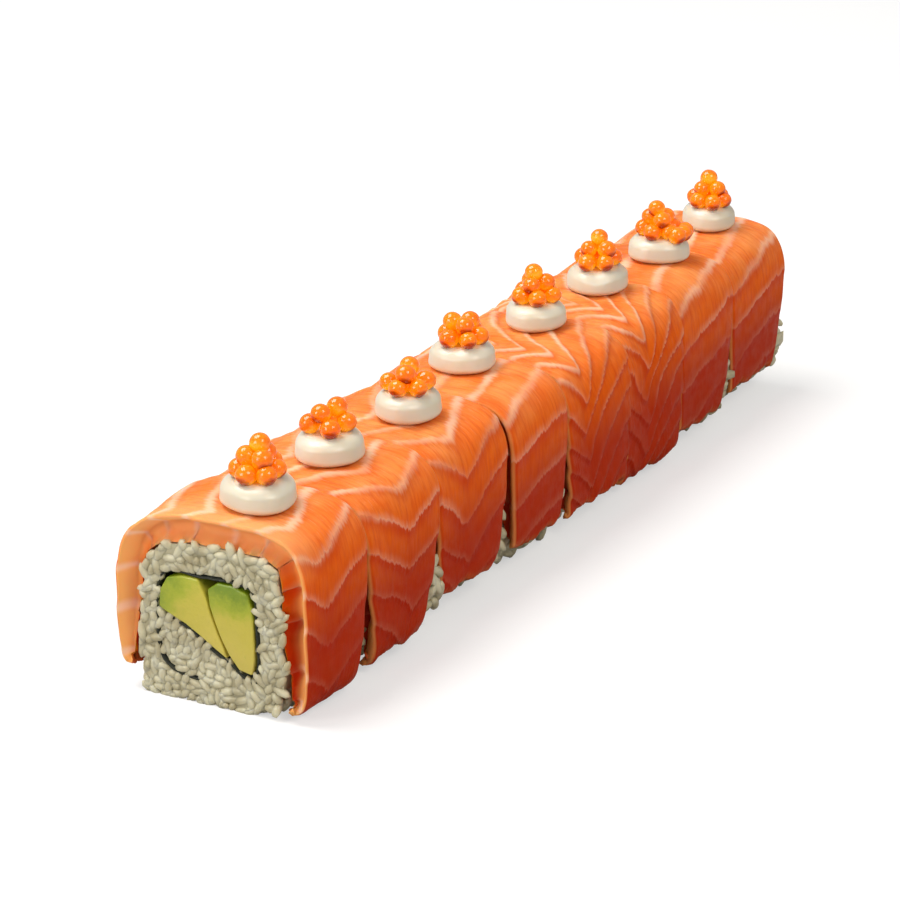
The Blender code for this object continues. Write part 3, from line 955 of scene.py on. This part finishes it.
def avocado_mesh(place, side):
    """An avocado stick: the CAD prism with softened edges and a soft cut face."""
    bm = node_copy(f"avocado_{side}_{place.number}")
    sharp = [edge for edge in bm.edges if edge.calc_face_angle(0.0) > 0.6]
    bmesh.ops.bevel(
        bm, geom=sharp, offset=STICK_EDGE, segments=3, profile=0.5, affect="EDGES", material=-1
    )
    return mesh_from(bm, f"avocado_{side}_fine_{place.number}")


def avocado_finish(colours, side, place):
    """Green flesh under the skin that turns to yellow as it gets deeper."""
    finish = Finish(f"avocado_{side}_{place.number}")
    low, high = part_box(f"avocado_{side}_{place.number}")
    spot = finish.places()
    x, _, z = finish.parts(spot)
    cloud = finish.noise(spot, 320.0, 3.0)
    fine = finish.noise(finish.stretched(spot, (1.0, 0.4, 1.0)), 1300.0, 3.0, 0.65)
    if side == "left":
        rise = (high[2] - z) / MM * 0.62 + (x - low[0]) / MM * 0.75
        depth = rise / 12.5
    else:
        depth = (high[2] - z) / MM / 11.0
    depth = depth + (cloud - 0.5) * 0.55 + (fine - 0.5) * 0.25
    bright = tone(166, 174, 34)
    pale = tone(200, 186, 68)
    green = finish.mix(finish.smooth(depth, 0.05, 0.45), colours.avocado_green, bright)
    yellow = finish.mix(finish.smooth(depth, 0.35, 0.75), green, pale)
    colour = finish.mix(finish.smooth(depth, 0.7, 1.35), yellow, colours.avocado_heart)
    colour = finish.mix(finish.smooth(fine, 0.55, 0.8) * 0.35, colour, bright)
    normal = finish.bump(fine * 0.6 + cloud, 0.45, 0.35 * MM)
    return finish.surface(
        Base_Color=colour,
        Roughness=0.3 + 0.25 * fine,
        Normal=normal,
        Subsurface_Weight=0.25,
        Subsurface_Radius=(1.0, 1.0, 0.35),
        Subsurface_Scale=1.4 * MM,
        Coat_Weight=0.25,
        Coat_Roughness=0.2,
    )


class URAMAKI_OT_fillings(bpy.types.Operator):
    """Makes the nori spiral and the avocado sticks inside the rice"""

    bl_idname = "uramaki.fillings"
    bl_label = "Nori and avocado"

    def execute(self, context):
        sizes, palette = context.scene.uramaki_sizes, Palette(context.scene.uramaki_colours)
        nori_look = nori_finish(palette)
        for number in range(1, SLICE_COUNT + 1):
            place = Place(number)
            node = f"nori_{number}"
            sheet = new_piece(f"{node}_sheet", nori_mesh(place), nori_look, "nori", node)
            shell = sheet.modifiers.new("Solidify", "SOLIDIFY")
            shell.thickness = sizes.nori_thickness
            shell.offset = 0.0
            for side in ("left", "right"):
                look = avocado_finish(palette, side, place)
                node = f"avocado_{side}_{number}"
                new_piece(f"{node}_stick", avocado_mesh(place, side), look, "avocado", node)
        return {"FINISHED"}


# ------------------------------------------------------------------ toppings

TOUCH_GAP = 0.35 * MM
PEARL_SINK = 0.4 * MM
CREAM_SINK = 0.15 * MM
NOTCH_WIDTH = 0.34
SPILT_DISTANCE = 5.4
SPILT_STEP = 0.2


class Dollop:
    """The cream of one slice: a low round blob with a dished top."""

    def __init__(self, place, sizes):
        self.place = place
        self.height = sizes.cream_height
        self.dish = sizes.cream_dish
        self.x = place.topping.across * MM + ROW_SHIFT
        self.y = place.start + place.topping.along * place.length
        self.radius = place.topping.radius * MM

    def reach(self, turn):
        """Radius of the blob in the direction of this angle."""
        phase = self.place.phase
        uneven = 0.035 * math.sin(2 * turn + phase) + 0.025 * math.sin(3 * turn + 2 * phase)
        return self.radius * (1.0 + uneven)

    def crown(self, share):
        """Height above the salmon at a share of the radius, on the upper side."""
        side = 0.4 + 0.6 * (1.0 - min(max(share, 0.0), 1.0) ** 3.0) ** 0.5
        return self.height * side - self.dish * math.exp(-((share / 0.55) ** 2))

    def surface(self, x, y):
        """Height of the cream's upper side above a point of the plan."""
        turn = math.atan2(y - self.y, x - self.x)
        share = math.hypot(x - self.x, y - self.y) / self.reach(turn)
        rise = self.crown(share) if share < 1.0 else 0.0
        return self.place.top(x, y) + TOUCH_GAP + rise


def cream_mesh(dollop):
    """A sphere drawn into a soft dollop that sits down on the salmon."""
    way_of_notch, depth_of_notch = dollop.place.topping.notch
    bm = bmesh.new()
    bmesh.ops.create_uvsphere(bm, u_segments=72, v_segments=40, radius=1.0)
    for vertex in bm.verts:
        way = vertex.co.normalized()
        turn = math.atan2(way.y, way.x)
        flat = math.hypot(way.x, way.y)
        share = flat**0.8
        soft = 1.0 + 0.02 * rough(2.2 * way.x, 2.2 * way.y, 1.6 * way.z + dollop.place.phase)
        out = dollop.reach(turn) * share * soft
        if way.z < -0.2:
            out *= 1.0 - 0.10 * ((-way.z - 0.2) / 0.8) ** 1.5
        x = dollop.x + out * math.cos(turn)
        y = dollop.y + out * math.sin(turn)
        base = dollop.place.top(x, y) - CREAM_SINK
        if way.z < 0.2:
            z = base + 0.4 * dollop.height * max(way.z + 0.8, 0.0) ** 1.2
        else:
            turned = math.atan2(math.sin(turn - way_of_notch), math.cos(turn - way_of_notch))
            dent = math.exp(-((turned / NOTCH_WIDTH) ** 2)) * share**3 * min(1.0, 2.0 * way.z)
            z = base + 0.5 * MM + dollop.crown(share) - depth_of_notch * MM * dent
        vertex.co = (x, y, z)
    bmesh.ops.smooth_vert(
        bm, verts=bm.verts, factor=0.5, use_axis_x=True, use_axis_y=True, use_axis_z=True
    )
    bmesh.ops.recalc_face_normals(bm, faces=bm.faces)
    return mesh_from(bm, f"cream_fine_{dollop.place.number}")


def cream_finish(colours):
    """Soft glossy cream with faint clouds."""
    finish = Finish("cream")
    spot = finish.places()
    cloud = finish.noise(spot, 180.0, 2.0)
    fine = finish.noise(spot, 900.0, 2.0)
    colour = finish.mix(finish.smooth(cloud, 0.3, 0.7) * 0.5, colours.cream, tone(214, 205, 180))
    normal = finish.bump(cloud * 0.6 + fine * 0.08, 0.25, 0.5 * MM)
    return finish.surface(
        Base_Color=colour,
        Roughness=0.30 + 0.12 * cloud,
        Normal=normal,
        Subsurface_Weight=0.5,
        Subsurface_Radius=(1.0, 0.8, 0.5),
        Subsurface_Scale=2.0 * MM,
        Coat_Weight=0.3,
        Coat_Roughness=0.2,
    )


def pearl_centres(dollop, radius):
    """The pearls of one pile: a low ring round a heart, a smaller ring on it and a top."""
    chance = random.Random(40 + dollop.place.number)
    low, middle, top, spilt, turn = dollop.place.topping.pile
    rest_at = radius - PEARL_SINK
    tiers = (
        (low, 3.5 * MM, 0.0),
        (1, 0.3 * MM, 0.3 * MM),
        (middle, 2.15 * MM, 2.6 * MM),
        (top, 0.6 * MM, 5.0 * MM),
    )
    centres = []
    for number, ring, rise in tiers:
        for step in range(number):
            way = turn + 2.0 * math.pi * (step + chance.uniform(-0.08, 0.08)) / number
            out = ring * chance.uniform(0.92, 1.1)
            x = dollop.x + out * math.cos(way)
            y = dollop.y + out * math.sin(way)
            centres.append(Vector((x, y, dollop.surface(x, y) + rest_at + rise)))
        turn += 0.5
    for step in range(spilt):
        way = -0.3 + 0.45 * step
        out = (SPILT_DISTANCE + SPILT_STEP * step) * MM
        x = dollop.x + out * math.cos(way)
        y = dollop.y + out * math.sin(way)
        centres.append(Vector((x, y, dollop.surface(x, y) + rest_at)))
    return centres


def roe_mesh(dollop, radius):
    """Pearls piled on the cream, each a slightly soft ball with its own random tone and the sides
    for its painted glow and shade.
    """
    chance = random.Random(90 + dollop.place.number)
    bm = bmesh.new()
    tint = bm.verts.layers.float_vector.new("tint")
    for centre in pearl_centres(dollop, radius):
        size = radius * chance.uniform(0.93, 1.05)
        matrix = Matrix.Translation(centre) @ Matrix.Diagonal((size, size, size * 0.96, 1.0))
        made = bmesh.ops.create_uvsphere(
            bm, u_segments=32, v_segments=18, radius=1.0, matrix=matrix
        )
        shade = chance.random()
        aside = Vector((centre.x - dollop.x, centre.y - dollop.y, 0.0)).normalized()
        for vertex in made["verts"]:
            away = (vertex.co - centre) / size
            outer = away.x * aside.x + away.y * aside.y
            uneven = rough(2.0 * away.x, 2.0 * away.y, 2.0 * away.z + shade * 9.0)
            vertex.co += away * 0.02 * size * uneven
            vertex[tint] = (shade, away.z, outer)
    return mesh_from(bm, f"roe_fine_{dollop.place.number}")


def roe_finish(colours):
    """Clear orange pearls, with painted glow towards the cream and painted shade where they curve
    under outside.
    """
    finish = Finish("roe")
    shade, height, outer = finish.parts(finish.attribute("tint"))
    cloud = finish.noise(finish.places(), 450.0, 2.0)
    warm = finish.mix(shade * 0.6, colours.roe, tone(244, 100, 4))
    # Painted glow: the pearls turn yellow towards the cream and on their lower inner side, as if
    # lit through
    inner = finish.smooth(outer * 0.6 + height + (cloud - 0.5) * 1.2, 0.35, -0.75)
    warm_with_painted_glow = finish.mix(inner * 0.85, warm, tone(255, 178, 30))
    # Painted shade: dark red where a pearl curves under on its outer side
    under = finish.smooth(outer * 0.75 - height * 0.8 + (cloud - 0.5) * 0.5, 0.6, 1.0)
    colour = finish.mix(under * 0.9, warm_with_painted_glow, colours.roe_rim)
    # Painted glow: emission towards the cream, none on the painted shade underneath
    glow = finish.mix(inner, tone(206, 66, 0), tone(255, 168, 10))
    glow = finish.mix(under, glow, (0.0, 0.0, 0.0))
    return finish.surface(
        Base_Color=colour,
        Roughness=0.08 + 0.05 * cloud,
        Emission_Color=glow,
        Emission_Strength=0.32,
        Subsurface_Weight=0.4,
        Subsurface_Radius=(1.0, 0.4, 0.05),
        Subsurface_Scale=1.6 * MM,
        IOR=1.4,
        Coat_Weight=1.0,
        Coat_Roughness=0.02,
        Specular_IOR_Level=0.1,
    )


class URAMAKI_OT_toppings(bpy.types.Operator):
    """Puts a dollop of cream and a pile of roe on each slice"""

    bl_idname = "uramaki.toppings"
    bl_label = "Cream and roe"

    def execute(self, context):
        sizes, palette = context.scene.uramaki_sizes, Palette(context.scene.uramaki_colours)
        cream_look, roe_look = cream_finish(palette), roe_finish(palette)
        for number in range(1, SLICE_COUNT + 1):
            dollop = Dollop(Place(number), sizes)
            cream, roe = f"cream_{number}", f"roe_{number}"
            new_piece(f"{cream}_dollop", cream_mesh(dollop), cream_look, "cream", cream)
            pearls = roe_mesh(dollop, sizes.pearl_radius)
            new_piece(f"{roe}_pearls", pearls, roe_look, "roe", roe)
        return {"FINISHED"}


# ------------------------------------------------------------------ stage

CAMERA_AZIMUTH = math.radians(27.95)
CAMERA_ELEVATION = math.radians(19.69)
CAMERA_DISTANCE = 0.6555
CAMERA_TARGET = Vector((0.0, 0.0, 0.01743))
CAMERA_LENS = 126.57
CAMERA_SHIFT = (-0.0473, -0.0131)


def add_camera():
    camera = bpy.data.cameras.new("camera")
    camera.lens = CAMERA_LENS
    camera.sensor_width = 36.0
    camera.shift_x, camera.shift_y = CAMERA_SHIFT
    camera.clip_start = 0.01
    item = bpy.data.objects.new("camera", camera)
    bpy.context.scene.collection.objects.link(item)
    away = Vector(
        (
            math.sin(CAMERA_AZIMUTH) * math.cos(CAMERA_ELEVATION),
            -math.cos(CAMERA_AZIMUTH) * math.cos(CAMERA_ELEVATION),
            math.sin(CAMERA_ELEVATION),
        )
    )
    item.location = CAMERA_TARGET + away * CAMERA_DISTANCE
    item.rotation_euler = away.to_track_quat("Z", "Y").to_euler()
    bpy.context.scene.camera = item


def add_lamp(name, place, size, power, colour):
    lamp = bpy.data.lights.new(name, "AREA")
    lamp.shape = "DISK"
    lamp.size = size
    lamp.energy = power
    lamp.color = colour
    item = bpy.data.objects.new(name, lamp)
    bpy.context.scene.collection.objects.link(item)
    item.location = place
    item.rotation_euler = (Vector(place) - CAMERA_TARGET).to_track_quat("Z", "Y").to_euler()


def add_floor(colours):
    """A wide pale floor that keeps the roll's shadow and looks white elsewhere."""
    bm = bmesh.new()
    bmesh.ops.create_grid(bm, x_segments=1, y_segments=1, size=6.0)
    mesh = mesh_from(bm, "floor")
    finish = Finish("floor")
    seen = finish.node("ShaderNodeLightPath", output="Is Camera Ray")
    glow = finish.mix(seen, (0.0, 0.0, 0.0), (0.52, 0.52, 0.52))
    soft = finish.noise(finish.places(), 3.0, 2.0)
    finish.surface(
        Base_Color=finish.mix(soft * 0.04, colours.stage, (0.55, 0.55, 0.55)),
        Roughness=0.8,
        Emission_Color=glow,
        Emission_Strength=1.0,
        Specular_IOR_Level=0.0,
    )
    mesh.materials.append(finish.material)
    item = bpy.data.objects.new("floor", mesh)
    bpy.context.scene.collection.objects.link(item)


def add_world():
    """Even grey light from all round, which looks white where it is seen directly."""
    world = bpy.data.worlds.new("studio")
    bpy.context.scene.world = world
    world.use_nodes = True
    tree = world.node_tree
    background = tree.nodes["Background"]
    path = tree.nodes.new("ShaderNodeLightPath")
    seen = tree.nodes.new("ShaderNodeMath")
    seen.operation = "MAXIMUM"
    tree.links.new(path.outputs["Is Camera Ray"], seen.inputs[0])
    tree.links.new(path.outputs["Is Transmission Ray"], seen.inputs[1])
    light = tree.nodes.new("ShaderNodeMix")
    light.data_type = "RGBA"
    light.inputs[6].default_value = (0.33, 0.33, 0.33, 1.0)
    light.inputs[7].default_value = (1.0, 1.0, 1.0, 1.0)
    tree.links.new(seen.outputs[0], light.inputs[0])
    tree.links.new(light.outputs[2], background.inputs["Color"])
    background.inputs["Strength"].default_value = 1.0


class URAMAKI_OT_stage(bpy.types.Operator):
    """Sets up the floor, the soft studio light and the camera"""

    bl_idname = "uramaki.stage"
    bl_label = "Stage"

    def execute(self, context):
        palette = Palette(context.scene.uramaki_colours)
        add_floor(palette)
        add_world()
        add_camera()
        add_lamp("key", (-0.45, -0.15, 1.05), 0.75, 10.8, (1.0, 0.985, 0.96))
        add_lamp("front", (-0.45, -1.1, 0.5), 0.6, 5.4, (1.0, 0.98, 0.94))
        add_lamp("side", (0.75, -0.35, 0.75), 0.5, 4.2, (1.0, 0.93, 0.84))
        context.scene.view_settings.view_transform = "Standard"
        return {"FINISHED"}


# ------------------------------------------------------------------ add-on

OPERATORS = (
    URAMAKI_OT_rice,
    URAMAKI_OT_fillings,
    URAMAKI_OT_salmon,
    URAMAKI_OT_toppings,
    URAMAKI_OT_stage,
)


class URAMAKI_PT_panel(bpy.types.Panel):
    """Lists the steps that make the roll"""

    bl_idname = "URAMAKI_PT_panel"
    bl_label = "Uramaki Roll"
    bl_space_type = "VIEW_3D"
    bl_region_type = "UI"
    bl_category = "Uramaki"

    def draw(self, context):
        for operator in OPERATORS:
            self.layout.operator(operator.bl_idname)
        for group in (context.scene.uramaki_sizes, context.scene.uramaki_colours):
            for name in type(group).__annotations__:
                self.layout.prop(group, name)


CLASSES = (UramakiSizes, UramakiColours, *OPERATORS, URAMAKI_PT_panel)


def register():
    for item in CLASSES:
        bpy.utils.register_class(item)
    bpy.types.Scene.uramaki_sizes = bpy.props.PointerProperty(type=UramakiSizes)
    bpy.types.Scene.uramaki_colours = bpy.props.PointerProperty(type=UramakiColours)


def unregister():
    del bpy.types.Scene.uramaki_colours
    del bpy.types.Scene.uramaki_sizes
    for item in reversed(CLASSES):
        bpy.utils.unregister_class(item)


def main():
    register()
    bpy.ops.uramaki.rice()
    bpy.ops.uramaki.fillings()
    bpy.ops.uramaki.salmon()
    bpy.ops.uramaki.toppings()
    bpy.ops.uramaki.stage()


if __name__ == "__main__":
    main()
